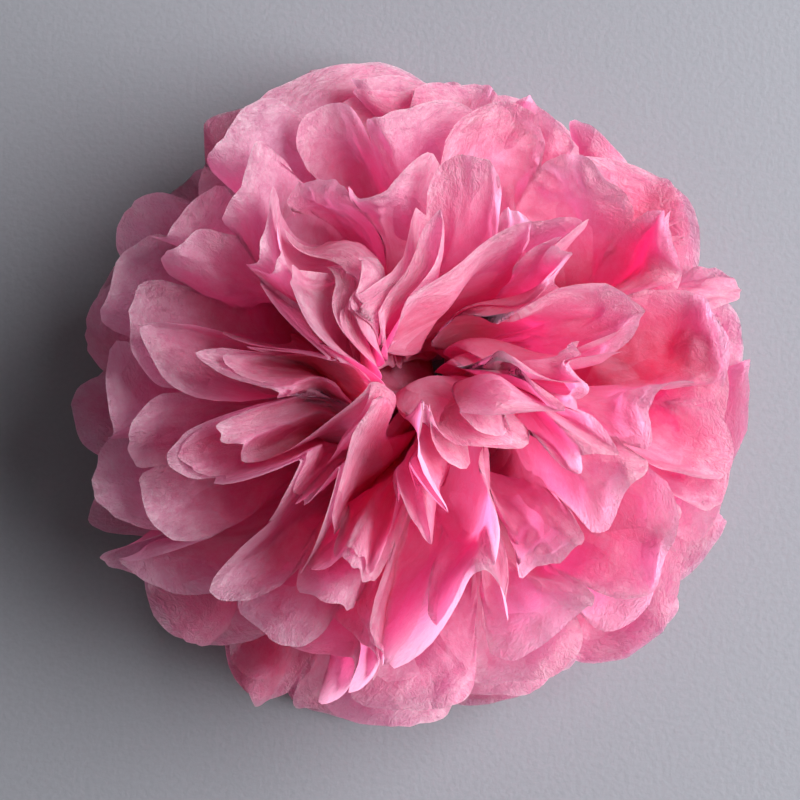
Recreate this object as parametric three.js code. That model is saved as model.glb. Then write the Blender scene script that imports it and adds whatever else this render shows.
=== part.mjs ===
import * as THREE from 'three';

// Tissue paper peony: a stack of tissue sheets pleated together like a fan, tied round the middle
// with a wire, cut round at both ends of every pleat, and opened out sheet by sheet.
// Millimetres, +Z up. The flower rests on Z = 0, with the origin below the middle of its outline.

// Paper
const SHEETS = 8;
const PLEATS = 9; // across one sheet
const PLEAT_WIDTH = 30;
const PLEAT_SPREAD = 0.4; // how unevenly the pleats open
const HALF_LENGTH = 84; // middle of the strip to a petal tip
const TIE_OFFSET = 4; // the tie sits this far from the middle of the strip
const NOTCH = 11; // depth of the cut between two petals
const PAPER = 0.4; // thickness of a crinkled sheet
const LAYER_GAP = 0.4; // clearance between sheets, and between the sheets and the tie

// Tie
const WAIST_RADIUS = 4;
const WAIST_HEIGHT = 9; // bottom sheet at the tie
const WIRE = 0.9;
const WIRE_CORNER = 0.9;
const WIRE_SLACK = 0.6; // room above the top sheet
const TAIL_END = 1.5; // height of the cut wire ends
const TAIL_TURNS = 1;

// How far the flower is opened, in degrees and millimetres
const LOW_RISE = 0; // bottom sheet
const HIGH_RISE = 68; // top sheet
const RISE_POWER = 1.25; // more than 1 spreads the upper sheets further apart than the lower ones
const UPRIGHT = 82; // the inner pleats stop short of the middle
const UPRIGHT_EASE = 7;
const KNEE = 80; // beyond this a petal only creeps up to the top value
const TOP = 88;
const FAN_AT_TIE = 65; // half the spread of one side
const FAN_OPEN = 88;
const NECK = 14; // distance over which the bunch at the tie opens out
const ROOT_SHARE = 0.55; // share of the rise that a sheet has near the tie
const ROOT_DIP = 20;
const ROOT_REACH = 48; // distance from the tie where a sheet has all its rise
const OPEN_SIDE = -17; // direction in which the flower lies most open
const OPEN_SHARE = 0.36; // share of the rise that is lost on the open side
const INNER_SHEETS = 2;
const INNER_OPEN_SHARE = 0.22;
const DROOPING_SHEETS = 3;
const TIP_DROOP = 5;

// Shape of the pleats and petals
const FOLD_REACH = 58; // distance from the tie where the pleats reach their full depth
const FOLD_ROUNDING = 0.35; // 0 for sharp creases, 1 for soft waves
const LEAST_FOLD = 0.22; // share of the pleat width that stays folded
const DEEPEST = 1.1; // deepest crease, as a share of the full depth: others have been smoothed out
const OWN_SHARE = 0.4; // share of this that differs from sheet to sheet
const INNER_SMOOTHED = 0.4; // share of the depth that the innermost creases lack
const INNER_FROM = 0.4; // shares of the stack where this begins and is full
const INNER_FULL = 0.9;
const TIPS_SMOOTHED = 0.5; // share of the depth that the creases lack at the petal tips
const TIPS_FROM = 0.45; // share of the length
const CUP = 8; // degrees across a petal
const PULL = 10; // degrees between petals pulled up and petals pushed down
const TIP_CURL = 24; // degrees at a petal tip
const CURL_START = 0.62; // share of the length
const TURNED_DOWN = 0.45; // share of the petals that cup and curl downwards
const NOTCH_SPREAD = 0.6; // how much the notches differ, as a share of their depth
const LOPSIDED = 0.8; // how much the petal ends lean to one side
const SQUARE_LEAST = 1.6; // 2 for a round petal end, more for a squarer one
const SQUARE_SPREAD = 1.6;
const VARIETY = 13; // another number gives another flower of the same kind

// Slow waves round the flower: size in degrees, waves in one turn, start, and the shift that comes
// with every sheet or every degree of rise
const LEAN_WAVES = [
  { size: 6, count: 2, start: 1.3, shift: 0.5 },
  { size: 5, count: 3, start: 0, shift: 0.9 },
  { size: 3, count: 5, start: 1, shift: 1.3 },
];
const SWIRL_WAVES = [
  { size: 7, count: 1, start: 0, shift: 1 / 22 },
  { size: 4, count: -1, start: 1, shift: 1 / 16 },
];
const BUNCH_WAVES = [
  { size: 1.4, count: 5, start: 1, shift: 1 / 40 },
  { size: 1.5, count: 3, start: 4, shift: -1 / 50 },
];
const LEAST_LEAN = 0.35; // share of the leaning waves that the bottom sheet has
const SWIRL = 0.6; // turn for every degree of rise
const SWIRL_REACH = 30;
const BUNCH_LOW = 12; // bunching of the petals starts and is full at these rises
const BUNCH_HIGH = 52;
const STANDING_SHORT = 0.1; // share of the length lost to small crinkles in a standing petal
const DRIFT = 1;
const DRIFT_LENGTH = 18;
const OVER_START = 25; // height above which the middle of the flower leans over
const OVER_LEFT = 0.25;
const OVER_FRONT = 0.06;
const PINCH = 0.35; // how far the middle of the flower is drawn together
const PINCH_REACH = 40;
const PINCH_LOW = 16; // heights where it starts and is full
const PINCH_HIGH = 46;

// Where the petals were turned by hand: middle and reach of the turn as shares of the petal length,
// its axis, and degrees
const TURNS = [
  { middle: [-0.19, 0.24, 0.74], reach: 0.26, axis: [0.5, 0.6, 0.4], angle: 40 },
  { middle: [-0.43, 0.05, 0.6], reach: 0.31, axis: [0.2, 1, 0.3], angle: 40 },
  { middle: [-0.29, -0.29, 0.64], reach: 0.3, axis: [1, -0.3, 0.5], angle: -32 },
  { middle: [0.12, -0.36, 0.6], reach: 0.31, axis: [0.8, 0.5, 0.6], angle: 40 },
  { middle: [0.24, 0.14, 0.64], reach: 0.29, axis: [-0.4, 1, 0.5], angle: -36 },
  { middle: [0.05, 0.48, 0.57], reach: 0.31, axis: [1, 0.2, 0.5], angle: 40 },
  { middle: [-0.48, 0.43, 0.43], reach: 0.31, axis: [0.6, 0.6, 0.4], angle: -40 },
  { middle: [-0.62, -0.24, 0.38], reach: 0.31, axis: [0.3, 0.8, -0.5], angle: 38 },
  { middle: [-0.1, -0.64, 0.38], reach: 0.31, axis: [1, 0.1, 0.6], angle: -40 },
  { middle: [0.45, -0.48, 0.33], reach: 0.29, axis: [0.5, -0.8, 0.4], angle: 36 },
  { middle: [0.52, 0.36, 0.36], reach: 0.29, axis: [-0.5, 0.8, 0.5], angle: 32 },
  { middle: [0.57, -0.07, 0.38], reach: 0.29, axis: [0.2, 1, 0.4], angle: -32 },
  { middle: [-0.36, 0.69, 0.31], reach: 0.26, axis: [0.9, 0.5, 0.2], angle: 36 },
];

// Mesh of one sheet: columns in each pleat, and rows from the tie to the tip
const PLEAT_COLUMNS = 3;
const SIDE_ROWS = [0, 0.14, 0.34, 0.57, 0.8, 1];
const LIFT_PASSES = 10;
const LIFT_STEP = 0.5; // degrees
const MOST_SLANT = 5; // folds steeper than this are pressed closer together

const DEGREE = Math.PI / 180;
const COLUMNS = PLEATS * PLEAT_COLUMNS;
const ROWS = 2 * SIDE_ROWS.length - 1;
const LINE = COLUMNS + 1;
const PITCH = PAPER + LAYER_GAP;
const PRESSED = 1.1 * PITCH; // sheets that lie on each other
const NEAREST = PAPER + 0.9 * LAYER_GAP;
const STACK_HEIGHT = (SHEETS - 1) * PITCH;
const MIDDLE_HEIGHT = WAIST_HEIGHT + STACK_HEIGHT / 2;

// Repeatable scatter between 0 and 1, so that no two petals are alike
function scatter(kind, side, sheet, pleat) {
  const seed = 12.9898 * (kind + VARIETY) + 78.233 * side + 37.719 * sheet + 4.581 * pleat;
  const value = 43758.5453 * Math.sin(seed);
  return value - Math.floor(value);
}
const WIDTH_SCATTER = 1;
const DEPTH_SCATTER = 2;
const CUP_SCATTER = 3;
const CURL_SCATTER = 4;
const NOTCH_SCATTER = 5;
const SHAPE_SCATTER = 6;
const PULL_SCATTER = 7;

function smooth(value) {
  return THREE.MathUtils.smoothstep(value, 0, 1);
}

function waves(list, turn, amount) {
  let sum = 0;
  for (const { size, count, start, shift } of list) {
    sum += size * Math.sin(count * turn + start + shift * amount);
  }
  return sum;
}

// Where each crease lies across the fan, from -1 to 1. Every sheet of one side shares its creases.
function creasePlaces(side) {
  const places = [0];
  for (let pleat = 0; pleat < PLEATS; pleat++) {
    places.push(places[pleat] + 1 + PLEAT_SPREAD * (scatter(WIDTH_SCATTER, side, 0, pleat) - 0.5));
  }
  return places.map((place) => (2 * place) / places[PLEATS] - 1);
}

const CREASES = [creasePlaces(0), creasePlaces(1)];

function notchDepth(side, crease) {
  return NOTCH * (1 + NOTCH_SPREAD * (scatter(NOTCH_SCATTER, side, 0, crease) - 0.5));
}

// A point of the flat sheet: column across the pleats, row along them from one tip to the other
function flatPoint(column, row) {
  const side = row < SIDE_ROWS.length ? 1 : 0;
  const step = side === 1 ? SIDE_ROWS.length - 1 - row : row - SIDE_ROWS.length;
  const pleat = Math.min(PLEATS - 1, Math.floor(column / PLEAT_COLUMNS));
  const across = column / PLEAT_COLUMNS - pleat;
  const lopsided = 1 + LOPSIDED * (scatter(SHAPE_SCATTER, side, 0, pleat) - 0.5);
  const square = SQUARE_LEAST + SQUARE_SPREAD * scatter(SHAPE_SCATTER, side, 1, pleat);
  const arch = (1 - Math.abs(2 * across ** lopsided - 1) ** square) ** (1 / square);
  const notch = THREE.MathUtils.lerp(notchDepth(side, pleat), notchDepth(side, pleat + 1), across);
  const length = HALF_LENGTH - notch * (1 - arch) + (side === 1 ? TIE_OFFSET : -TIE_OFFSET);
  const far = WAIST_RADIUS + SIDE_ROWS[step] * (length - WAIST_RADIUS);
  const neck = smooth((far - WAIST_RADIUS) / NECK);
  const fan = (FAN_AT_TIE + (FAN_OPEN - FAN_AT_TIE) * neck) * DEGREE;
  const left = CREASES[side][pleat];
  const right = CREASES[side][pleat + 1];
  const angle = fan * (left + (right - left) * across);
  const turn = side === 1 ? Math.PI - angle : angle;
  return { side, pleat, across, far, neck, turn, pleatTurn: fan * (right - left) };
}

// Points of the flat sheet, row by row, and the facets between them
const FLAT = [];
const FACETS = [];
for (let row = 0; row <= ROWS; row++) {
  for (let column = 0; column <= COLUMNS; column++) {
    const here = FLAT.length;
    FLAT.push(flatPoint(column, row));
    if (row < ROWS && column < COLUMNS) {
      FACETS.push([here, here + LINE, here + 1]);
      FACETS.push([here + 1, here + LINE, here + LINE + 1]);
    }
  }
}

// The edge of the sheet, once round
const EDGE = [];
for (let column = 0; column < COLUMNS; column++) {
  EDGE.push(column);
}
for (let row = 0; row < ROWS; row++) {
  EDGE.push(row * LINE + COLUMNS);
}
for (let column = COLUMNS; column > 0; column--) {
  EDGE.push(ROWS * LINE + column);
}
for (let row = ROWS; row > 0; row--) {
  EDGE.push(row * LINE);
}

// Rise of a whole sheet towards one direction, in degrees
function lean(sheet, turn) {
  const share = sheet / (SHEETS - 1);
  const rise = LOW_RISE + (HIGH_RISE - LOW_RISE) * share ** RISE_POWER;
  const lost = sheet < SHEETS - INNER_SHEETS ? OPEN_SHARE : INNER_OPEN_SHARE;
  const wavy = LEAST_LEAN + (1 - LEAST_LEAN) * share;
  return rise + wavy * waves(LEAN_WAVES, turn, sheet) - lost * rise * Math.cos(turn - OPEN_SIDE * DEGREE);
}

// Height of one crease above or below the sheet's middle line, as a share of the pleat depth
function creaseSide(sheet, side, crease) {
  const inner = smooth((sheet / (SHEETS - 1) - INNER_FROM) / (INNER_FULL - INNER_FROM));
  const own = scatter(DEPTH_SCATTER, side, sheet, crease);
  const uneven = THREE.MathUtils.lerp(scatter(DEPTH_SCATTER, side, 0, crease), own, OWN_SHARE);
  const depth = DEEPEST * (1 - INNER_SMOOTHED * inner) * uneven;
  return crease % 2 === 0 ? depth : -depth;
}

// Rise of one point of a sheet, seen from the tie, where nothing is in its way
function freeRise(sheet, { side, pleat, across, far, neck, turn, pleatTurn }) {
  const out = far / HALF_LENGTH;
  const opened = smooth(far / ROOT_REACH);
  const droop = sheet < DROOPING_SHEETS ? TIP_DROOP * out * out : 0;
  const share = ROOT_SHARE + (1 - ROOT_SHARE) * opened;
  let rise = (lean(sheet, turn) * share - ROOT_DIP * (1 - opened) - droop) * DEGREE;

  // The pleats stay as wide as they were folded, so they stand deeper where the fan is narrow
  const width = PLEAT_WIDTH * Math.min(1, far / FOLD_REACH);
  const spread = far * Math.cos(THREE.MathUtils.clamp(rise, 0, KNEE * DEGREE)) * pleatTurn;
  const depth = Math.sqrt(Math.max((LEAST_FOLD * width) ** 2, width * width - spread * spread));
  const smoothed = TIPS_SMOOTHED * smooth((out - TIPS_FROM) / (1 - TIPS_FROM));
  const swing = (depth * (1 - smoothed)) / (2 * far);

  // The middle line gives way, so that the inner creases stay short of upright
  const limit = UPRIGHT * DEGREE - swing;
  const ease = UPRIGHT_EASE * DEGREE;
  rise -= ease * Math.log1p(Math.exp((rise - limit) / ease));

  const round = 0.5 - 0.5 * Math.cos(Math.PI * across);
  const eased = across + (round - across) * FOLD_ROUNDING;
  const near = creaseSide(sheet, side, pleat);
  const next = creaseSide(sheet, side, pleat + 1);
  rise += (near + (next - near) * eased) * swing;

  const hollow = 4 * across * (1 - across);
  const cup = CUP * (scatter(CUP_SCATTER, side, sheet, pleat) - TURNED_DOWN) * opened;
  const pull = PULL * (scatter(PULL_SCATTER, side, sheet, pleat) - 0.5) * opened;
  const curl = TIP_CURL * (scatter(CURL_SCATTER, side, sheet, pleat) - TURNED_DOWN);
  rise += hollow * (cup + pull + curl * smooth((out - CURL_START) / (1 - CURL_START))) * DEGREE;

  const over = rise / DEGREE - KNEE;
  if (over > 0) {
    rise = (KNEE + (TOP - KNEE) * Math.tanh(over / (TOP - KNEE))) * DEGREE;
  }
  const bunched = Math.asin((sheet * PITCH - STACK_HEIGHT / 2) / far);
  return bunched + (rise - bunched) * neck;
}

// The petals turned within some balls, the more the nearer to the middle of the ball
function turned(point) {
  for (const { middle, reach, axis, angle } of TURNS) {
    const centre = new THREE.Vector3(...middle).multiplyScalar(HALF_LENGTH);
    point.sub(centre);
    const turn = angle * DEGREE * (1 - smooth(point.length() / (reach * HALF_LENGTH)));
    point.applyAxisAngle(new THREE.Vector3(...axis).normalize(), turn).add(centre);
  }
  return point;
}

// From distance, direction and rise to a place in the flower: the petals turn and drift as they rise
function place({ far, turn }, rise) {
  const up = rise / DEGREE;
  const away = smooth((far - WAIST_RADIUS) / SWIRL_REACH);
  const bunch = waves(BUNCH_WAVES, turn, up) * smooth((up - BUNCH_LOW) / (BUNCH_HIGH - BUNCH_LOW));
  const swirl = SWIRL * up + waves(SWIRL_WAVES, turn, up) + bunch;
  const heading = turn + swirl * away * DEGREE;
  const length = far * (1 - STANDING_SHORT * (Math.max(0, up) / KNEE) ** 2);
  const z = length * Math.sin(rise) + MIDDLE_HEIGHT;
  const nearAxis = 1 - smooth((length * Math.cos(rise)) / PINCH_REACH);
  const drawnIn = 1 - PINCH * nearAxis * smooth((z - PINCH_LOW) / (PINCH_HIGH - PINCH_LOW));
  const x = length * Math.cos(rise) * Math.cos(heading) * drawnIn;
  const y = length * Math.cos(rise) * Math.sin(heading) * drawnIn;
  const drift = DRIFT * away;
  const over = Math.max(0, z - OVER_START) * away;
  const point = new THREE.Vector3(
    x + drift * Math.sin(y / DRIFT_LENGTH) - OVER_LEFT * over,
    y + drift * Math.cos(x / DRIFT_LENGTH) - OVER_FRONT * over,
    z,
  );
  return turned(point);
}

// How much further apart two sheets stand, measured straight up, where their folds are steep
function slant(rises, here) {
  const { far, turn, side } = FLAT[here];
  const slope = (there) => {
    const beside = FLAT[there];
    if (!beside || beside.side !== side) {
      return 0;
    }
    const sideways = far * Math.cos(rises[here]) * (beside.turn - turn);
    return Math.abs((far * (rises[there] - rises[here])) / Math.hypot(sideways, beside.far - far));
  };
  const column = here % LINE;
  const before = column > 0 ? slope(here - 1) : 0;
  const after = column < COLUMNS ? slope(here + 1) : 0;
  const along = Math.max(slope(here - LINE), slope(here + LINE));
  return Math.min(MOST_SLANT, Math.hypot(1, Math.max(before, after), along));
}

// Direction square to one facet
function square(points, [a, b, c]) {
  const side = points[b].clone().sub(points[a]);
  return side.cross(points[c].clone().sub(points[a])).normalize();
}

// Points of a sheet that are too near the sheet below
function nearPoints(points, below) {
  const near = new Set();
  for (const facet of FACETS) {
    const faces = [square(points, facet), square(below, facet)];
    for (const i of facet) {
      const step = points[i].clone().sub(below[i]);
      if (FLAT[i].far > WAIST_RADIUS && faces.some((face) => face.dot(step) < NEAREST)) {
        near.add(i);
      }
    }
  }
  return near;
}

// All points of one sheet, laid on the floor or on the sheet below and then eased clear of it
function settle(sheet, below) {
  const free = FLAT.map((point) => freeRise(sheet, point));
  const rises = FLAT.map(({ far }, i) => {
    if (!below) {
      return Math.max(free[i], Math.asin(Math.max(-1, (PAPER / 2 - MIDDLE_HEIGHT) / far)));
    }
    const steep = Math.max(slant(below.rises, i), slant(free, i));
    return Math.max(free[i], below.rises[i] + (PRESSED * steep) / far);
  });
  const points = FLAT.map((point, i) => place(point, rises[i]));
  for (let pass = 0; below && pass < LIFT_PASSES; pass++) {
    for (const i of nearPoints(points, below.points)) {
      rises[i] += LIFT_STEP * DEGREE;
      points[i] = place(FLAT[i], rises[i]);
    }
  }
  return { rises, points };
}

// One sheet of paper: its facets twice, half the thickness above and below, closed along the edge
function makeSheet(points) {
  const faces = points.map(() => new THREE.Vector3());
  for (const facet of FACETS) {
    facet.forEach((i) => faces[i].add(square(points, facet)));
  }
  const upper = points.map((point, i) => {
    const face = point.z > PAPER ? faces[i].normalize() : new THREE.Vector3(0, 0, 1);
    return point.clone().addScaledVector(face, PAPER / 2);
  });
  const lower = points.map((point, i) => point.clone().multiplyScalar(2).sub(upper[i]));
  const under = points.length;
  const index = [];
  for (const [a, b, c] of FACETS) {
    index.push(a, b, c, under + a, under + c, under + b);
  }
  EDGE.forEach((a, i) => {
    const b = EDGE[(i + 1) % EDGE.length];
    index.push(a, b, under + b, a, under + b, under + a);
  });
  const sheet = new THREE.BufferGeometry().setFromPoints([...upper, ...lower]);
  sheet.setIndex(index);
  sheet.computeVertexNormals();
  return sheet;
}

const flower = new THREE.Group();
let below = null;
for (let sheet = 0; sheet < SHEETS; sheet++) {
  below = settle(sheet, below);
  const tissue = new THREE.MeshStandardMaterial({ color: '#f08ab8', roughness: 0.8, metalness: 0 });
  const mesh = new THREE.Mesh(makeSheet(below.points), tissue);
  mesh.name = `sheet_${sheet + 1}`;
  flower.add(mesh);
}

// Tie wire: once round the waist through the slits between the two sides, its ends twisted together below
function wirePath() {
  const reach = WIRE / 2 + LAYER_GAP;
  const side = WAIST_RADIUS * Math.sin(FAN_AT_TIE * DEGREE) + reach;
  const top = WAIST_HEIGHT + STACK_HEIGHT + PAPER / 2 + reach + WIRE_SLACK;
  const bottom = WAIST_HEIGHT - PAPER / 2 - reach;
  const strand = (WIRE + LAYER_GAP) / 2;
  const bend = bottom - WIRE_CORNER;
  const half = [];
  const twistSteps = 8;
  for (let i = 0; i <= twistSteps; i++) {
    const share = i / twistSteps;
    const angle = (1 - share) * TAIL_TURNS * 2 * Math.PI;
    const height = TAIL_END + share * (bend - TAIL_END);
    half.push(new THREE.Vector3(strand * Math.sin(angle), strand * Math.cos(angle), height));
  }
  const corner = (y, z, from) => {
    for (const part of [0, 0.5, 1]) {
      const angle = from + (part * Math.PI) / 2;
      const dy = WIRE_CORNER * Math.cos(angle);
      const dz = WIRE_CORNER * Math.sin(angle);
      half.push(new THREE.Vector3(0, y + dy, z + dz));
    }
  };
  half.push(new THREE.Vector3(0, strand + 0.3 * WIRE_CORNER, bottom - 0.3 * WIRE_CORNER));
  half.push(new THREE.Vector3(0, strand + WIRE_CORNER, bottom));
  corner(side - WIRE_CORNER, bottom + WIRE_CORNER, -Math.PI / 2);
  corner(side - WIRE_CORNER, top - WIRE_CORNER, 0);
  const other = half.map((point) => new THREE.Vector3(-point.x, -point.y, point.z)).reverse();
  return new THREE.CatmullRomCurve3([...half, ...other]);
}

const section = new THREE.Shape().absarc(0, 0, WIRE / 2, 0, 2 * Math.PI);
const wire = new THREE.ExtrudeGeometry(section, {
  steps: 48, curveSegments: 4, bevelEnabled: false, extrudePath: wirePath(),
});
const steel = new THREE.MeshStandardMaterial({ color: '#b9bcc0', roughness: 0.35, metalness: 1 });
const tie = new THREE.Mesh(wire, steel);
tie.name = 'tie_wire';
flower.add(tie);

// The origin goes below the middle of the whole flower
const outline = new THREE.Box3().setFromObject(flower);
const centre = outline.getCenter(new THREE.Vector3());
flower.position.set(-centre.x, -centre.y, -outline.min.z);

export default flower;
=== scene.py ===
import math

import bmesh
import bpy
import numpy as np
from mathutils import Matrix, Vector


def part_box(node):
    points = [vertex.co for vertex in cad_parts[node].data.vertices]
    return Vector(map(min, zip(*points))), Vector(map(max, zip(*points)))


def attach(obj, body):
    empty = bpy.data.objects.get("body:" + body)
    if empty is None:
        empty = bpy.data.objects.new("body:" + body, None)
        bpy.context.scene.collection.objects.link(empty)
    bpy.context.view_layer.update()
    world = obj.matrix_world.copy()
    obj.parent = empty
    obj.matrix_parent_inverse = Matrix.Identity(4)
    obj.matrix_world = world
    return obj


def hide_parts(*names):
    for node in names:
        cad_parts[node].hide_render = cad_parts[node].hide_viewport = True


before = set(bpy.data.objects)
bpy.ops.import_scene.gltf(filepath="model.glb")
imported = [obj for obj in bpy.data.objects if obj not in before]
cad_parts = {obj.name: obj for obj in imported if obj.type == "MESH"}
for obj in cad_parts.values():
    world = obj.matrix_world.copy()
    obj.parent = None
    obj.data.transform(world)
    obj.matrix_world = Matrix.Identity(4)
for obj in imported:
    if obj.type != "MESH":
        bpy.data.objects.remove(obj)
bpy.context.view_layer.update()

# Paper sizes in millimetres and angles in degrees, by the names in the part's source.
# The gathers go deeper here, and the middle is drawn further in.
SHEETS = 8
PLEATS = 9
PLEAT_WIDTH = 30
PLEAT_SPREAD = 0.4
HALF_LENGTH = 84
TIE_OFFSET = 4
NOTCH = 11
PITCH = 0.8
WAIST_RADIUS = 4
WAIST_HEIGHT = 9
LOW_RISE, HIGH_RISE, RISE_POWER = 0, 68, 1.25
UPRIGHT, UPRIGHT_EASE = 82, 7
KNEE, TOP = 80, 88
FAN_AT_TIE, FAN_OPEN = 65, 89.5
NECK = 14
ROOT_SHARE, ROOT_DIP, ROOT_REACH = 0.55, 20, 48
OPEN_SIDE, OPEN_SHARE = -17, 0.36
INNER_SHEETS, INNER_OPEN_SHARE = 2, 0.13
DROOPING_SHEETS, TIP_DROOP = 3, 5
FOLD_REACH = 24
LEAST_FOLD = 0.22
DEEPEST, OWN_SHARE = 1.6, 0.4
INNER_SMOOTHED, INNER_FROM, INNER_FULL = 0.4, 0.4, 0.9
TIPS_SMOOTHED, TIPS_FROM = 0.5, 0.45
MOST_SWING = 45
CUP, TIP_CURL, CURL_START, TURNED_DOWN = 8, 24, 0.62, 0.45
VARIETY = 13
LEAN_WAVES = [(6, 2, 1.3, 0.5), (5, 3, 0, 0.9), (3, 5, 1, 1.3)]
SWIRL_WAVES = [(7, 1, 0, 1 / 22), (4, -1, 1, 1 / 16)]
BUNCH_WAVES = [(1.4, 5, 1, 1 / 40), (1.5, 3, 4, -1 / 50)]
LEAST_LEAN = 0.35
SWIRL, SWIRL_REACH = 0.6, 30
BUNCH_LOW, BUNCH_HIGH = 12, 52
STANDING_SHORT = 0.1
DRIFT, DRIFT_LENGTH = 1, 18
OVER_START, OVER_LEFT, OVER_FRONT = 25, 0.25, 0.06
PINCH, PINCH_REACH, PINCH_LOW, PINCH_HIGH = 0.88, 38, 12, 38

# Finer paper than the solids have, with its crumple, ruffled ends and hand cut edges
PLEAT_STEPS = 24
SIDE_STEPS = 60
SHEET_GAP = 0.45
FLOOR_GAP = 0.2
MOST_SLANT = 6
PETAL_SPREAD = 10
CRUMPLE = 2.7
FINE_CRUMPLE = 1.1
SOFT_SWELL, SOFT_WIDE, SOFT_LONG = 0.6, 17, 23
CREASES, LEAST_CREASE, MOST_CREASE = 7, 14, 36
FINE_CREASES, LEAST_FINE, MOST_FINE = 6, 5, 12
FINE_INSIDE, FINE_REACH = 0.35, 30
RUFFLE, RUFFLE_LENGTH, RUFFLE_FROM, RUFFLE_EASE = 11, 27, 4.4, 2.5
RUFFLE_START, RUFFLE_REACH, RUFFLE_SLANT = 20, 30, 0.2
SLIP, SLIP_WIDE, SLIP_LONG = 0.5, 40, 35
PATCH_CONTRAST, PATCH_LEVEL = 1.4, 0.3
EDGE_WANDER, WANDER_POWER = 1.3, 4
SNIP, SMALL_SNIP, SMALL_SHARE = 8, 2.5, 0.25
LEAST_LOPSIDED, LOPSIDED_SPREAD = 0.6, 0.8
LEAST_SQUARE, SQUARE_SPREAD = 1.6, 1.6
LEAST_NOTCH, NOTCH_SPREAD = 0.7, 0.6
ROUNDED, TIP_ROUNDED, TIP_FROM = 0.1, 0.4, 0.2
INNER_ROUNDED, ROUNDED_FROM, ROUNDED_EASE = 0.4, 3, 3
PAPER_STEP = 40

# Where the petals were turned by hand: middle and reach as shares of the petal length, axis, and degrees.
# The last six crumple the middle.
TURNS = [
    ((-0.19, 0.24, 0.74), 0.26, (0.5, 0.6, 0.4), 40),
    ((-0.43, 0.05, 0.6), 0.31, (0.2, 1, 0.3), 40),
    ((-0.29, -0.29, 0.64), 0.3, (1, -0.3, 0.5), -32),
    ((0.12, -0.36, 0.6), 0.31, (0.8, 0.5, 0.6), 40),
    ((0.24, 0.14, 0.64), 0.29, (-0.4, 1, 0.5), -36),
    ((0.05, 0.48, 0.57), 0.31, (1, 0.2, 0.5), 40),
    ((-0.48, 0.43, 0.43), 0.31, (0.6, 0.6, 0.4), -40),
    ((-0.62, -0.24, 0.38), 0.31, (0.3, 0.8, -0.5), 38),
    ((-0.1, -0.64, 0.38), 0.31, (1, 0.1, 0.6), -40),
    ((0.45, -0.48, 0.33), 0.29, (0.5, -0.8, 0.4), 36),
    ((0.52, 0.36, 0.36), 0.29, (-0.5, 0.8, 0.5), 32),
    ((0.57, -0.07, 0.38), 0.29, (0.2, 1, 0.4), -32),
    ((-0.36, 0.69, 0.31), 0.26, (0.9, 0.5, 0.2), 36),
    ((-0.05, 0, 0.72), 0.35, (0.2, 0.1, 1), 45),
    ((-0.2, 0.15, 0.9), 0.33, (0.7, 0.7, 0.2), -60),
    ((0.05, -0.2, 0.85), 0.33, (0.9, -0.3, 0.3), 60),
    ((-0.1, 0, 0.95), 0.25, (0.1, 0.9, 0.3), 75),
    ((-0.3, 0.3, 0.8), 0.24, (0.2, -0.5, 1), 80),
    ((0.12, 0.08, 0.9), 0.22, (1, 0.2, 0.1), -80),
]

# Patterns of the paper, the wire and the floor, in millimetres
CLOUD, FIBRE, FIBRE_DEPTH = 20 / 7, 5 / 8, 0.15
WRINKLE, WRINKLE_DEPTH, WRINKLED_END = 5 / 3, 0.8, 16
# Painted light and shade: over this span in from the cut ends the paper turns from painted pale to painted
# deeper pink
PALE_FROM, PALE_END = 0.2, 13
# A painted highlight: the bright line along the cut edge fades out over this span
PAINTED_HIGHLIGHT_FROM, PAINTED_HIGHLIGHT_END = 0.1, 0.45
BEND, BEND_SHIFT = 50 / 3, 14
FACET, FACET_LEAN = (11.76, 20), 0.62
SMALL_FACET, SMALL_LEAN = (5, 7.69), 0.3
DRAW_MARK = 0.4
PULP, PULP_DEPTH = 10 / 7, 0.4

# Colours: of the tissue where it is thin and where it is thick, and of the rest
TISSUE_TINTS = {
    # Painted light: the paler tint near the cut ends
    "end": ("f8a4c9", "fedcea"),
    "sheet": ("f9aed2", "fbbedc"),
    # A painted highlight: the bright tint of the line along the cut edge
    "cut": ("fbc6de", "fde8f2"),
    # Painted shade: the deeper pink that the light coming through is given further in
    "through": ("fb7eb8", "fd98cc"),
}
WIRE_TINT = "b9bcc0"
CARD_TINTS = ("86888f", "90929a")
DAYLIGHT_TINT, WALL_TINT = "f9ecec", "b4b6bd"

# Studio, in metres, degrees and watts
FLOOR_HALF = 0.6
WINDOW_AT, WINDOW_AIM, WINDOW_SIZE, WINDOW_POWER = (0.92, 0.1, 0.56), (0, 0, 0.03), 1.2, 40
FILL_AT, FILL_AIM, FILL_SIZE, FILL_POWER = (0.0, -0.1, 1.3), (0, 0, 0), 1.4, 1.6
DAYLIGHT = 0.06
VIEW_ANGLE, VIEW_TILT, VIEW_DISTANCE, VIEW_AIM = 38, 86, 0.295, (-0.006, -0.003, 0.02)

# What each scatter is for
WIDTH_SCATTER, DEPTH_SCATTER, CUP_SCATTER, CURL_SCATTER = 1, 2, 3, 4
NOTCH_SCATTER, SHAPE_SCATTER, PETAL_SCATTER, TIP_SCATTER = 5, 6, 7, 8
RUFFLE_SCATTER, CREASE_TURN_SCATTER, CREASE_LENGTH_SCATTER = 10, 20, 40
FIRST_FINE = 10
SCATTER_SIZE, SCATTER_STEPS = 43758.5453, (12.9898, 78.233, 37.719, 4.581)

DEGREE = math.pi / 180
COLUMNS = PLEATS * PLEAT_STEPS
STACK_HEIGHT = (SHEETS - 1) * PITCH
MIDDLE_HEIGHT = WAIST_HEIGHT + STACK_HEIGHT / 2
MM = 0.001


def fraction(*numbers):
    """A repeatable value between 0 and 1 for some numbers."""
    value = SCATTER_SIZE * np.sin(sum(step * number for step, number in zip(SCATTER_STEPS, numbers)))
    return value - np.floor(value)


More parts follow.
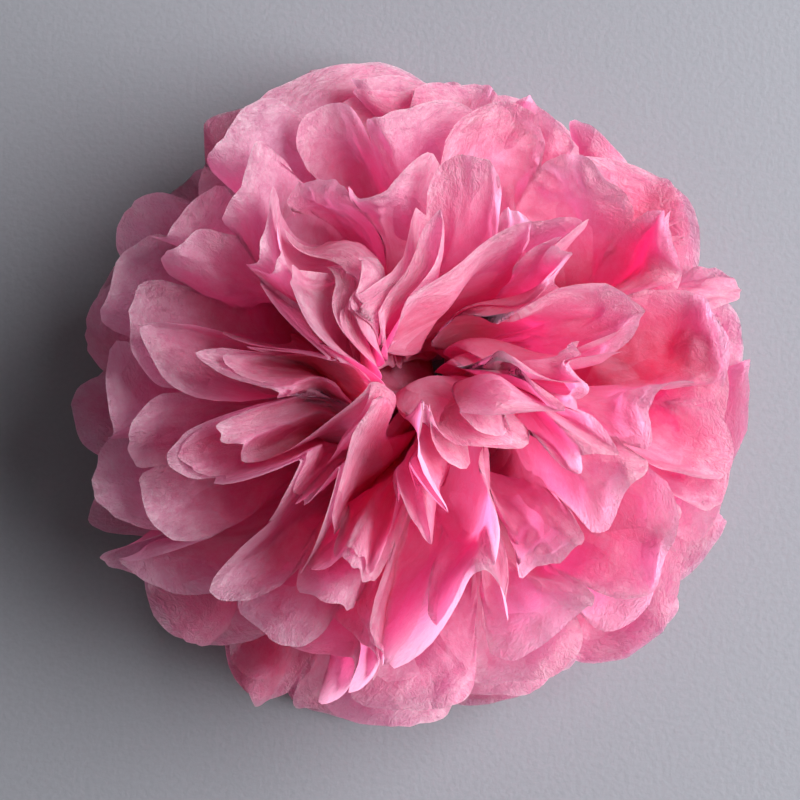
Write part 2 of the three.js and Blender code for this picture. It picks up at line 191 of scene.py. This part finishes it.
def scatter(kind, side, sheet, pleat):
    """Repeatable scatter between 0 and 1, so that no two petals are alike."""
    return fraction(kind + VARIETY, side, sheet, pleat)


def smooth(value):
    """From 0 to 1 with soft ends."""
    t = np.clip(value, 0, 1)
    return t * t * (3 - 2 * t)


def waves(table, turn, amount):
    """Waves round the flower, each with its size, count, start and shift."""
    return sum(size * np.sin(count * turn + start + shift * amount) for size, count, start, shift in table)


def noise(x, y, seed):
    """Smooth noise from -1 to 1 with a cell of 1. A seed only keeps one noise apart from another."""
    left, low = np.floor(x), np.floor(y)
    u, v = smooth(x - left), smooth(y - low)

    def corner(i, j):
        return 2 * fraction(left + i, low + j, seed) - 1

    near = corner(0, 0) + (corner(1, 0) - corner(0, 0)) * u
    far = corner(0, 1) + (corner(1, 1) - corner(0, 1)) * u
    return near + (far - near) * v


def zigzag(along):
    """A zigzag that is 1 at whole numbers and 0 halfway between them."""
    return np.abs(2 * (along - np.floor(along)) - 1)


def cut_line(x, seed):
    """A line that wanders between -1 and 1 in straight snips."""
    left = np.floor(x)
    here, following = 2 * fraction(np.stack([left, left + 1]), 0, seed) - 1
    return here + (following - here) * (x - left)


def crease_places(side):
    """Where the creases of one side come to lie in the fan, from -1 to 1."""
    steps = 1 + PLEAT_SPREAD * (scatter(WIDTH_SCATTER, side, 0, np.arange(PLEATS)) - 0.5)
    places = np.concatenate([[0], np.cumsum(steps)])
    return 2 * places / places[-1] - 1


class Side:
    """One side of a flat sheet, from the tie to the petal tips: rows along the petals, columns across."""

    def __init__(self, side):
        column = np.linspace(0, PLEATS, COLUMNS + 1)
        self.side = side
        self.pleat = np.minimum(PLEATS - 1, np.floor(column)).astype(int)
        self.across = column - self.pleat

        # Petal ends cut by hand: each a little rounder, flatter or more one-sided than the next
        lopsided = LEAST_LOPSIDED + LOPSIDED_SPREAD * scatter(SHAPE_SCATTER, side, 0, self.pleat)
        square = LEAST_SQUARE + SQUARE_SPREAD * scatter(SHAPE_SCATTER, side, 1, self.pleat)
        beside = np.abs(2 * self.across ** lopsided - 1)
        arch = np.clip(1 - beside ** square, 0, 1) ** (1 / square)
        notches = LEAST_NOTCH + NOTCH_SPREAD * scatter(NOTCH_SCATTER, side, 0, np.arange(PLEATS + 1))
        depths = NOTCH * notches
        depth = depths[self.pleat] + (depths[self.pleat + 1] - depths[self.pleat]) * self.across
        length = HALF_LENGTH - depth * (1 - arch) + (TIE_OFFSET if side else -TIE_OFFSET)

        self.share = np.linspace(0, 1, SIDE_STEPS + 1)[:, None]
        self.far = WAIST_RADIUS + self.share * (length - WAIST_RADIUS)
        self.rim = length - self.far
        self.neck = smooth((self.far - WAIST_RADIUS) / NECK)
        fan = (FAN_AT_TIE + (FAN_OPEN - FAN_AT_TIE) * self.neck) * DEGREE
        creases = crease_places(side)
        left, right = creases[self.pleat], creases[self.pleat + 1]
        angle = fan * (left + (right - left) * self.across)
        self.turn = math.pi - angle if side else angle
        self.pleat_turn = fan * (right - left)
        self.wide = np.broadcast_to(column * PLEAT_WIDTH, self.far.shape)


SIDES = [Side(0), Side(1)]


def lean(sheet, turn):
    """How far a sheet is pulled up, in degrees: the inner ones further, and all less on the open side."""
    share = sheet / (SHEETS - 1)
    rise = LOW_RISE + (HIGH_RISE - LOW_RISE) * share ** RISE_POWER
    lost = OPEN_SHARE if sheet < SHEETS - INNER_SHEETS else INNER_OPEN_SHARE
    wavy = LEAST_LEAN + (1 - LEAST_LEAN) * share
    return rise + wavy * waves(LEAN_WAVES, turn, sheet) - lost * rise * np.cos(turn - OPEN_SIDE * DEGREE)


def crease_side(sheet, side, crease):
    """How far a crease swings up or down: partly with the whole stack, partly on its own."""
    own = scatter(DEPTH_SCATTER, side, sheet, crease)
    shared = scatter(DEPTH_SCATTER, side, 0, crease)
    inner = smooth((sheet / (SHEETS - 1) - INNER_FROM) / (INNER_FULL - INNER_FROM))
    depth = DEEPEST * (1 - INNER_SMOOTHED * inner) * (OWN_SHARE * own + (1 - OWN_SHARE) * shared)
    return np.where(crease % 2 == 0, depth, -depth)


def folds(sheet, s, first, count, least, most):
    """Straight creases in all directions that fade in and out, as tissue gets when it is handled."""
    total = 0
    for i in range(first, first + count):
        angle = 2 * math.pi * scatter(CREASE_TURN_SCATTER + i, s.side, sheet, 0)
        length = least + (most - least) * scatter(CREASE_LENGTH_SCATTER + i, s.side, sheet, 0)
        along = (s.wide * math.cos(angle) + s.far * math.sin(angle)) / length
        patches = noise(s.wide / (2 * most), s.far / (2 * most), 100 * sheet + 7 * i + s.side)
        strength = smooth(PATCH_CONTRAST * patches + PATCH_LEVEL)
        total = total + strength * length / most * zigzag(along)
    return total


def crumpled(sheet, s):
    """Millimetres by which handling has pushed the paper up or down."""
    soft = SOFT_SWELL * noise(s.wide / SOFT_WIDE, s.far / SOFT_LONG, 10 * sheet + s.side)
    coarse = CRUMPLE * folds(sheet, s, 0, CREASES, LEAST_CREASE, MOST_CREASE)
    near_rim = FINE_INSIDE + (1 - FINE_INSIDE) * smooth(1 - s.rim / FINE_REACH)
    fine = FINE_CRUMPLE * folds(sheet, s, FIRST_FINE, FINE_CREASES, LEAST_FINE, MOST_FINE) * near_rim

    # The innermost sheets were never smoothed out and stay narrowly ruffled
    inner = smooth((sheet - RUFFLE_FROM) / RUFFLE_EASE) * smooth((s.far - RUFFLE_START) / RUFFLE_REACH)
    slip = SLIP * noise(s.wide / SLIP_WIDE, s.far / SLIP_LONG, 60 + sheet + 9 * s.side)
    slanted = (s.wide + RUFFLE_SLANT * s.far * (-1) ** sheet) / RUFFLE_LENGTH
    along = slanted + slip + scatter(RUFFLE_SCATTER, s.side, sheet, 0)
    ruffle = RUFFLE * inner * (zigzag(along) - 0.5)
    return soft + coarse + fine + ruffle


def free_rise(sheet, s):
    """Rise of a sheet, seen from the tie, where nothing is in its way."""
    out = s.far / HALF_LENGTH
    opened = smooth(s.far / ROOT_REACH)
    droop = TIP_DROOP * out * out if sheet < DROOPING_SHEETS else 0
    share = ROOT_SHARE + (1 - ROOT_SHARE) * opened
    rise = (lean(sheet, s.turn) * share - ROOT_DIP * (1 - opened) - droop) * DEGREE

    width = PLEAT_WIDTH * np.minimum(1, s.far / FOLD_REACH)
    spread = s.far * np.cos(np.clip(rise, 0, KNEE * DEGREE)) * s.pleat_turn
    depth = np.sqrt(np.maximum((LEAST_FOLD * width) ** 2, width ** 2 - spread ** 2))
    smoothed = TIPS_SMOOTHED * smooth((out - TIPS_FROM) / (1 - TIPS_FROM))
    swing = np.minimum(MOST_SWING * DEGREE, depth / (2 * s.far)) * (1 - smoothed)
    ease = UPRIGHT_EASE * DEGREE
    rise = rise - ease * np.log1p(np.exp((rise - UPRIGHT * DEGREE + swing) / ease))

    rounding = ROUNDED + TIP_ROUNDED * smooth(out - TIP_FROM)
    rounding = rounding + INNER_ROUNDED * smooth((sheet - ROUNDED_FROM) / ROUNDED_EASE)
    eased = s.across + (0.5 - 0.5 * np.cos(math.pi * s.across) - s.across) * rounding
    near = crease_side(sheet, s.side, s.pleat)
    following = crease_side(sheet, s.side, s.pleat + 1)
    rise = rise + (near + (following - near) * eased) * swing

    hollow = 4 * s.across * (1 - s.across)
    cup = CUP * (scatter(CUP_SCATTER, s.side, sheet, s.pleat) - TURNED_DOWN) * opened
    curl = TIP_CURL * (scatter(CURL_SCATTER, s.side, sheet, s.pleat) - TURNED_DOWN)
    pulled = PETAL_SPREAD * (scatter(PETAL_SCATTER, s.side, sheet, s.pleat) - 0.5) * opened
    rise = rise + hollow * (cup + pulled + curl * smooth((out - CURL_START) / (1 - CURL_START))) * DEGREE
    rise = rise + crumpled(sheet, s) * opened / s.far

    over = rise / DEGREE - KNEE
    capped = (KNEE + (TOP - KNEE) * np.tanh(over / (TOP - KNEE))) * DEGREE
    rise = np.where(over > 0, capped, rise)
    bunched = np.arcsin((sheet * PITCH - STACK_HEIGHT / 2) / s.far)
    return bunched + (rise - bunched) * s.neck


def slant(rise, s):
    """How much further apart two sheets stand, measured straight up, where their folds are steep."""
    along = np.gradient(rise, axis=0) / np.gradient(s.far, axis=0) * s.far
    across = np.gradient(rise, axis=1) / (np.gradient(s.turn, axis=1) * np.cos(rise))
    return np.minimum(MOST_SLANT, np.sqrt(1 + along ** 2 + across ** 2))


def turned(points):
    """The petals turned within some balls, the more the nearer to the middle of the ball."""
    for middle, reach, axis, angle in TURNS:
        axis = np.array(axis) / np.linalg.norm(axis)
        middle = HALF_LENGTH * np.array(middle)
        offset = points - middle
        distance = np.linalg.norm(offset, axis=-1, keepdims=True)
        turn = angle * DEGREE * (1 - smooth(distance / (reach * HALF_LENGTH)))
        along = (offset @ axis)[..., None] * axis
        offset = along + (offset - along) * np.cos(turn) + np.cross(axis, offset) * np.sin(turn)
        points = middle + offset
    return points


def place(far, turn, rise):
    """From distance, direction and rise to a place in the flower: the petals turn and drift as they rise."""
    up = rise / DEGREE
    away = smooth((far - WAIST_RADIUS) / SWIRL_REACH)
    bunch = waves(BUNCH_WAVES, turn, up) * smooth((up - BUNCH_LOW) / (BUNCH_HIGH - BUNCH_LOW))
    swirl = SWIRL * up + waves(SWIRL_WAVES, turn, up) + bunch
    heading = turn + swirl * away * DEGREE
    length = far * (1 - STANDING_SHORT * (np.maximum(0, up) / KNEE) ** 2)
    x = length * np.cos(rise) * np.cos(heading)
    y = length * np.cos(rise) * np.sin(heading)
    z = length * np.sin(rise) + MIDDLE_HEIGHT
    drift = DRIFT * away
    near_axis = 1 - smooth(np.hypot(x, y) / PINCH_REACH)
    drawn_in = 1 - PINCH * near_axis * smooth((z - PINCH_LOW) / (PINCH_HIGH - PINCH_LOW))
    x = x * drawn_in
    y = y * drawn_in
    over = np.maximum(0, z - OVER_START) * away
    moved_x = x + drift * np.sin(y / DRIFT_LENGTH) - OVER_LEFT * over
    moved_y = y + drift * np.cos(x / DRIFT_LENGTH) - OVER_FRONT * over
    return turned(np.stack([moved_x, moved_y, z], -1))


def settle(sheet, below):
    """Rise and points of one sheet, laid on the floor or on the sheet below: rows from tip to tip."""
    rises = []
    for s in SIDES:
        rise = free_rise(sheet, s)
        if below:
            steep = np.maximum(slant(below[s.side], s), slant(rise, s))
            rise = np.maximum(rise, below[s.side] + SHEET_GAP * steep / s.far)
        else:
            rise = np.maximum(rise, np.arcsin(np.maximum(-1, (FLOOR_GAP - MIDDLE_HEIGHT) / s.far)))
        rises.append(rise)
    points = []
    for s, rise in zip(SIDES, rises):
        seed = 2 * sheet + s.side
        wander = cut_line(s.wide / SNIP, 40 + seed) + SMALL_SHARE * cut_line(s.wide / SMALL_SNIP, 60 + seed)
        tip = 4 * s.across * (1 - s.across)
        wander = wander + 2 * (scatter(TIP_SCATTER, s.side, sheet, s.pleat) - 0.5) * tip
        points.append(place(s.far + EDGE_WANDER * wander * s.share ** WANDER_POWER, s.turn, rise))
    points = np.concatenate([points[1][::-1], points[0]])
    points[..., 2] = np.maximum(points[..., 2], FLOOR_GAP)
    return rises, points


def linear(colour):
    """An sRGB hex colour as linear values."""
    channels = [int(colour[i:i + 2], 16) / 255 for i in (0, 2, 4)]
    return [c / 12.92 if c <= 0.04045 else ((c + 0.055) / 1.055) ** 2.4 for c in channels] + [1]


def add(tree, kind, inputs=None, **settings):
    """A node with its settings; each input gets a value, or a link where another node's socket feeds it."""
    node = tree.nodes.new(kind)
    for name, value in settings.items():
        setattr(node, name, value)
    for name, value in (inputs or {}).items():
        if isinstance(value, bpy.types.NodeSocket):
            tree.links.new(value, node.inputs[name])
        else:
            node.inputs[name].default_value = value
    return node


def new_material(name):
    material = bpy.data.materials.new(name)
    material.use_nodes = True
    material.node_tree.nodes.clear()
    return material, material.node_tree


def facets(tree, flat, size, strength):
    """Flat places between creases, each leaning its own way."""
    scale = (1 / size[0], 1 / size[1], 1)
    sized = add(tree, "ShaderNodeMapping", {"Vector": flat, "Scale": scale}).outputs[0]
    cells = add(tree, "ShaderNodeTexVoronoi", {"Vector": sized, "Scale": 1}, voronoi_dimensions="2D")
    around = add(
        tree, "ShaderNodeVectorMath", {0: cells.outputs["Color"], 1: (0.5, 0.5, 0.5)}, operation="SUBTRACT"
    )
    leaning = {0: around.outputs[0], "Scale": strength}
    return add(tree, "ShaderNodeVectorMath", leaning, operation="SCALE").outputs[0]


def tissue_paper():
    """Dyed tissue, thin and cloudy with fibres. It lets about two thirds of the light through, so that
    single layers look pale, layers over one another deeper pink, and the valleys between petals crimson.
    Its colour also carries painted light and shade: paler near the cut ends, deeper pink further in, and a
    painted highlight along the cut."""
    material, tree = new_material("tissue_paper_pink")
    flat = add(tree, "ShaderNodeAttribute", attribute_name="flat_mm").outputs["Vector"]
    rim = add(tree, "ShaderNodeAttribute", attribute_name="rim_mm").outputs["Fac"]

    # Clouds of fibres, and single fibres drawn as coarse as they need to show
    clouds = add(
        tree, "ShaderNodeTexNoise", {"Vector": flat, "Scale": 1 / CLOUD, "Detail": 3, "Roughness": 0.6}
    )
    fibres = add(
        tree, "ShaderNodeTexNoise",
        {"Vector": flat, "Scale": 1 / FIBRE, "Detail": 2, "Roughness": 0.7, "Distortion": 1.2},
    )
    speckle = add(tree, "ShaderNodeMath", {0: clouds.outputs[0], 1: fibres.outputs[0]}, operation="ADD")
    thick = add(
        tree, "ShaderNodeMapRange", {"Value": speckle.outputs[0], "From Min": 0.7, "From Max": 1.3}
    ).outputs[0]

    # Painted light and shade: paler towards the cut ends, where the fibre speckle is stronger, and a deeper
    # pink further in
    painted_light_to_shade = add(
        tree, "ShaderNodeMapRange", {"Value": rim, "From Min": PALE_FROM, "From Max": PALE_END},
        interpolation_type="SMOOTHSTEP",
    ).outputs[0]
    tints = {}
    for name, (thin, heavy) in TISSUE_TINTS.items():
        ends = {"Factor": thick, 6: linear(thin), 7: linear(heavy)}
        tints[name] = add(tree, "ShaderNodeMix", ends, data_type="RGBA").outputs[2]
    whole = {"Factor": painted_light_to_shade, 6: tints["end"], 7: tints["sheet"]}
    tint_with_painted_light = add(tree, "ShaderNodeMix", whole, data_type="RGBA").outputs[2]

    # A painted highlight: a fine bright line painted along the cut, as if it caught the light
    cut = add(
        tree, "ShaderNodeMapRange", {"Value": rim, "From Min": PAINTED_HIGHLIGHT_FROM, "From Max": PAINTED_HIGHLIGHT_END}
    ).outputs[0]
    lined = {"Factor": cut, 6: tints["cut"], 7: tint_with_painted_light}
    colour = add(tree, "ShaderNodeMix", lined, data_type="RGBA").outputs[2]

    # Facets between sharp creases, large ones and small ones
    bent = add(tree, "ShaderNodeTexNoise", {"Vector": flat, "Scale": 1 / BEND, "Detail": 1})
    shifted = add(
        tree, "ShaderNodeVectorMath", {0: bent.outputs["Color"], "Scale": BEND_SHIFT}, operation="SCALE"
    )
    moved = add(tree, "ShaderNodeVectorMath", {0: flat, 1: shifted.outputs[0]}, operation="ADD").outputs[0]
    large = facets(tree, moved, FACET, FACET_LEAN)
    small = facets(tree, moved, SMALL_FACET, SMALL_LEAN)
    tilt = add(tree, "ShaderNodeVectorMath", {0: large, 1: small}, operation="ADD").outputs[0]
    face = add(tree, "ShaderNodeNewGeometry").outputs["Normal"]
    leaning = add(tree, "ShaderNodeVectorMath", {0: face, 1: tilt}, operation="ADD").outputs[0]
    normal = add(tree, "ShaderNodeVectorMath", {0: leaning}, operation="NORMALIZE").outputs[0]

    # Small wrinkles, deepest near the cut ends, and the grain of the fibres
    wrinkles = add(
        tree, "ShaderNodeTexNoise",
        {"Vector": flat, "Scale": 1 / WRINKLE, "Detail": 3, "Roughness": 0.6, "Distortion": 1.5},
    )
    depth = add(
        tree, "ShaderNodeMapRange", {"Value": rim, "From Max": WRINKLED_END, "To Min": 0.9, "To Max": 0.2}
    ).outputs[0]
    for height, deepest in ((wrinkles, WRINKLE_DEPTH), (fibres, FIBRE_DEPTH)):
        raised = {"Height": height.outputs[0], "Normal": normal, "Strength": depth, "Distance": deepest * MM}
        normal = add(tree, "ShaderNodeBump", raised).outputs[0]

    # Part of the light comes back with a soft sheen, the rest comes through in a deeper pink; that pink is
    # painted deeper still further from the cut ends, as painted shade
    sheen = add(
        tree, "ShaderNodeBsdfPrincipled",
        {"Base Color": colour, "Normal": normal, "Roughness": 0.6, "Specular IOR Level": 0.2},
    )
    painted_deepening = {"Factor": painted_light_to_shade, 6: tints["sheet"], 7: tints["through"]}
    deep = add(tree, "ShaderNodeMix", painted_deepening, data_type="RGBA").outputs[2]
    glow = add(tree, "ShaderNodeBsdfTranslucent", {"Color": deep, "Normal": normal})
    through = add(tree, "ShaderNodeMapRange", {"Value": thick, "To Min": 0.78, "To Max": 0.64}).outputs[0]
    paper = add(tree, "ShaderNodeMixShader", {0: through, 1: sheen.outputs[0], 2: glow.outputs[0]})
    add(tree, "ShaderNodeOutputMaterial", {"Surface": paper.outputs[0]})
    return material


def steel_wire():
    """Drawn steel wire: grey metal with fine marks along it, softly shiny."""
    material, tree = new_material("steel_wire")
    inside = add(tree, "ShaderNodeTexCoord").outputs["Object"]
    marks = add(tree, "ShaderNodeTexNoise", {"Vector": inside, "Scale": 1 / (DRAW_MARK * MM)})
    rough = add(tree, "ShaderNodeMapRange", {"Value": marks.outputs[0], "To Min": 0.25, "To Max": 0.45})
    metal = add(
        tree, "ShaderNodeBsdfPrincipled",
        {"Base Color": linear(WIRE_TINT), "Metallic": 1, "Roughness": rough.outputs[0]},
    )
    add(tree, "ShaderNodeOutputMaterial", {"Surface": metal.outputs[0]})
    return material


def both_sides(name):
    """One value of the flat sheet for every point, in rows from one tip to the other."""
    return np.concatenate([getattr(SIDES[1], name)[::-1], getattr(SIDES[0], name)])


def make_sheet(sheet, points, material):
    """One sheet of tissue: a flat grid moved to its folded place, with its flat sizes kept in mm."""
    name = f"tissue_{sheet + 1}"
    rows, columns = points.shape[:2]
    bm = bmesh.new()
    bmesh.ops.create_grid(bm, x_segments=columns - 1, y_segments=rows - 1, size=0.5)
    column = np.rint(np.array([v.co.x + 0.5 for v in bm.verts]) * (columns - 1)).astype(int)
    row = np.rint(np.array([v.co.y + 0.5 for v in bm.verts]) * (rows - 1)).astype(int)
    for vertex, place_at in zip(bm.verts, points[row, column]):
        vertex.co = place_at
    for face in bm.faces:
        face.smooth = True
    mesh = bpy.data.meshes.new(name)
    bm.to_mesh(mesh)
    bm.free()

    # Every sheet has its own stretch of the paper's pattern
    far = both_sides("far")
    from_tie = np.where(np.arange(rows)[:, None] < rows / 2, -far, far)
    stretch = np.full_like(far, PAPER_STEP * (sheet + 1))
    flat = np.stack([both_sides("wide"), from_tie, stretch], -1)
    flat_mm = mesh.attributes.new("flat_mm", "FLOAT_VECTOR", "POINT")
    flat_mm.data.foreach_set("vector", flat[row, column].ravel())
    rim_mm = mesh.attributes.new("rim_mm", "FLOAT", "POINT")
    rim_mm.data.foreach_set("value", both_sides("rim")[row, column].ravel())

    mesh.materials.append(material)
    piece = bpy.data.objects.new(name, mesh)
    bpy.context.scene.collection.objects.link(piece)
    return piece


tie_low, tie_high = (np.array(corner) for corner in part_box("tie_wire"))
waist = np.array([(tie_low[0] + tie_high[0]) / 2, (tie_low[1] + tie_high[1]) / 2, 0])
paper = tissue_paper()
below = None
for sheet in range(SHEETS):
    below, points = settle(sheet, below)
    node = f"sheet_{sheet + 1}"
    piece = make_sheet(sheet, points * MM + waist, paper)
    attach(piece, "root")
    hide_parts(node)
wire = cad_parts["tie_wire"]
wire.data.materials.clear()
wire.data.materials.append(steel_wire())


def grey_card():
    """Plain matt card: even grey with a fine pulp grain."""
    material, tree = new_material("floor_card")
    inside = add(tree, "ShaderNodeTexCoord").outputs["Object"]
    grains = {"Vector": inside, "Scale": 1 / (PULP * MM), "Detail": 4}
    pulp = add(tree, "ShaderNodeTexNoise", grains).outputs[0]
    ends = {"Factor": pulp, 6: linear(CARD_TINTS[0]), 7: linear(CARD_TINTS[1])}
    tint = add(tree, "ShaderNodeMix", ends, data_type="RGBA").outputs[2]
    grain = add(tree, "ShaderNodeBump", {"Height": pulp, "Strength": 0.3, "Distance": PULP_DEPTH * MM})
    card = add(
        tree, "ShaderNodeBsdfPrincipled",
        {"Base Color": tint, "Normal": grain.outputs[0], "Roughness": 0.9},
    )
    add(tree, "ShaderNodeOutputMaterial", {"Surface": card.outputs[0]})
    return material


def make_floor():
    """A square of card under the flower."""
    bm = bmesh.new()
    bmesh.ops.create_grid(bm, x_segments=1, y_segments=1, size=FLOOR_HALF)
    mesh = bpy.data.meshes.new("floor")
    bm.to_mesh(mesh)
    bm.free()
    mesh.materials.append(grey_card())
    floor = bpy.data.objects.new("floor", mesh)
    bpy.context.scene.collection.objects.link(floor)


def soft_light(name, place_at, aim, size, power):
    """A square lamp, wide enough for soft shadows."""
    lamp = bpy.data.lights.new(name, "AREA")
    lamp.size = size
    lamp.energy = power
    light = bpy.data.objects.new(name, lamp)
    light.location = place_at
    light.rotation_euler = (Vector(aim) - Vector(place_at)).to_track_quat("-Z", "Y").to_euler()
    bpy.context.scene.collection.objects.link(light)


make_floor()
soft_light("window", WINDOW_AT, WINDOW_AIM, WINDOW_SIZE, WINDOW_POWER)
soft_light("fill", FILL_AT, FILL_AIM, FILL_SIZE, FILL_POWER)

# Weak daylight from all sides, and a plain pale wall where the view passes the floor
world = bpy.data.worlds.new("room")
world.use_nodes = True
room = world.node_tree
room.nodes.clear()
daylight = add(room, "ShaderNodeBackground", {"Color": linear(DAYLIGHT_TINT), "Strength": DAYLIGHT})
wall = add(room, "ShaderNodeBackground", {"Color": linear(WALL_TINT), "Strength": 1})
seen = add(room, "ShaderNodeLightPath").outputs["Is Camera Ray"]
both = add(room, "ShaderNodeMixShader", {0: seen, 1: daylight.outputs[0], 2: wall.outputs[0]})
add(room, "ShaderNodeOutputWorld", {"Surface": both.outputs[0]})
bpy.context.scene.world = world

camera = bpy.data.objects.new("camera", bpy.data.cameras.new("camera"))
camera.data.angle = math.radians(VIEW_ANGLE)
aim = Vector(VIEW_AIM)
tilt = math.radians(VIEW_TILT)
camera.location = aim + VIEW_DISTANCE * Vector((0, -math.cos(tilt), math.sin(tilt)))
camera.rotation_euler = (aim - camera.location).to_track_quat("-Z", "Y").to_euler()
bpy.context.scene.collection.objects.link(camera)
bpy.context.scene.camera = camera
bpy.context.scene.view_settings.view_transform = "Standard"
